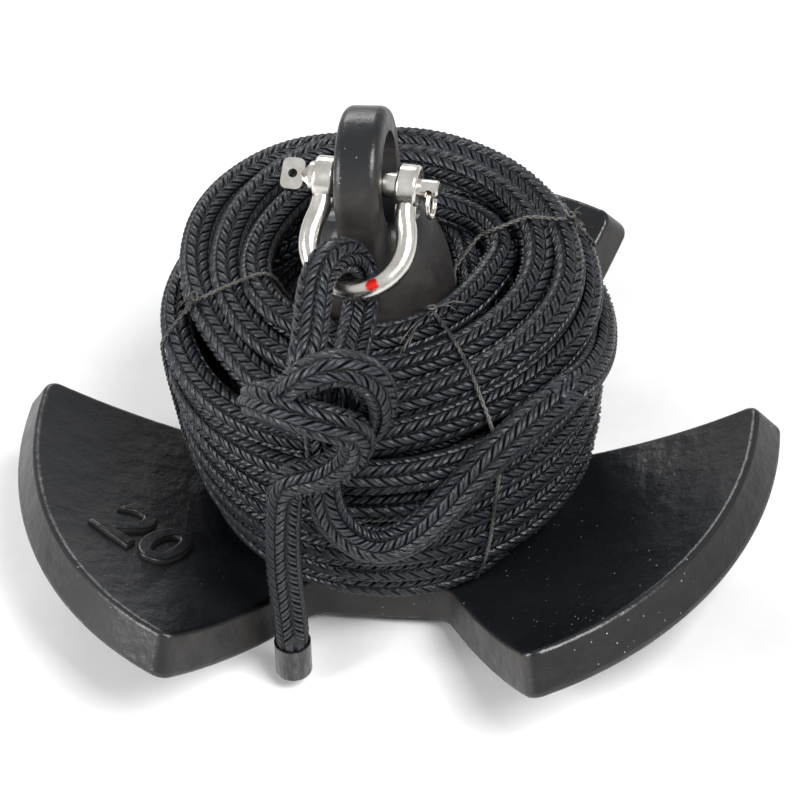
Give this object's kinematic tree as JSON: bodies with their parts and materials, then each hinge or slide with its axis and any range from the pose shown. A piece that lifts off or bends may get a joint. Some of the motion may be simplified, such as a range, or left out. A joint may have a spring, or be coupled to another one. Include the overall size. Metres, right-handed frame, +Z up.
{
  "type": "river anchor with rope coil",
  "caption": "Cast-iron river anchor with three cupped flukes, an eye and a bow shackle, carrying a tied coil of braided rope knotted through the shackle.",
  "frame": {"origin": "on the shank's axis, in the plane of the flat foot under the hub", "axes": "+Z up along the shank; +Y along the back fluke; +X through the eye's hole, towards the split ring"},
  "size_m": [0.3068, 0.289, 0.2005],
  "materials": {
    "cast_iron": "cast iron under a glossy black coating",
    "stainless": "polished stainless steel",
    "rope": "black braided multifilament rope",
    "twine": "thin twisted twine",
    "sleeve": "black shrink sleeve"
  },
  "bodies": {
    "anchor": {"anchor_casting": "cast_iron", "rope_coil": "rope", "rope_slack": "rope", "rope_tail": "rope", "rope_tip_sleeve": "sleeve", "tie_left": "twine", "tie_front": "twine", "tie_back": "twine"},
    "shackle": {"shackle_bow": "stainless", "shackle_pin": "stainless", "rope_bight": "rope", "rope_knot": "rope"},
    "ring": {"split_ring": "stainless"}
  },
  "joints": [
    {"name": "shackle_swing", "type": "hinge", "parent": "anchor", "child": "shackle", "pos_m": [0.0023, -0.0102, 0.1798], "axis": [-0.996, 0.0766, 0.0454], "range_deg": [0, 15]},
    {"name": "split_ring_swing", "type": "hinge", "parent": "shackle", "child": "ring", "pos_m": [0.02541, -0.01198, 0.17875], "axis": [-0.0767, -0.9971, 0], "range_deg": [-6, 65]}
  ]
}
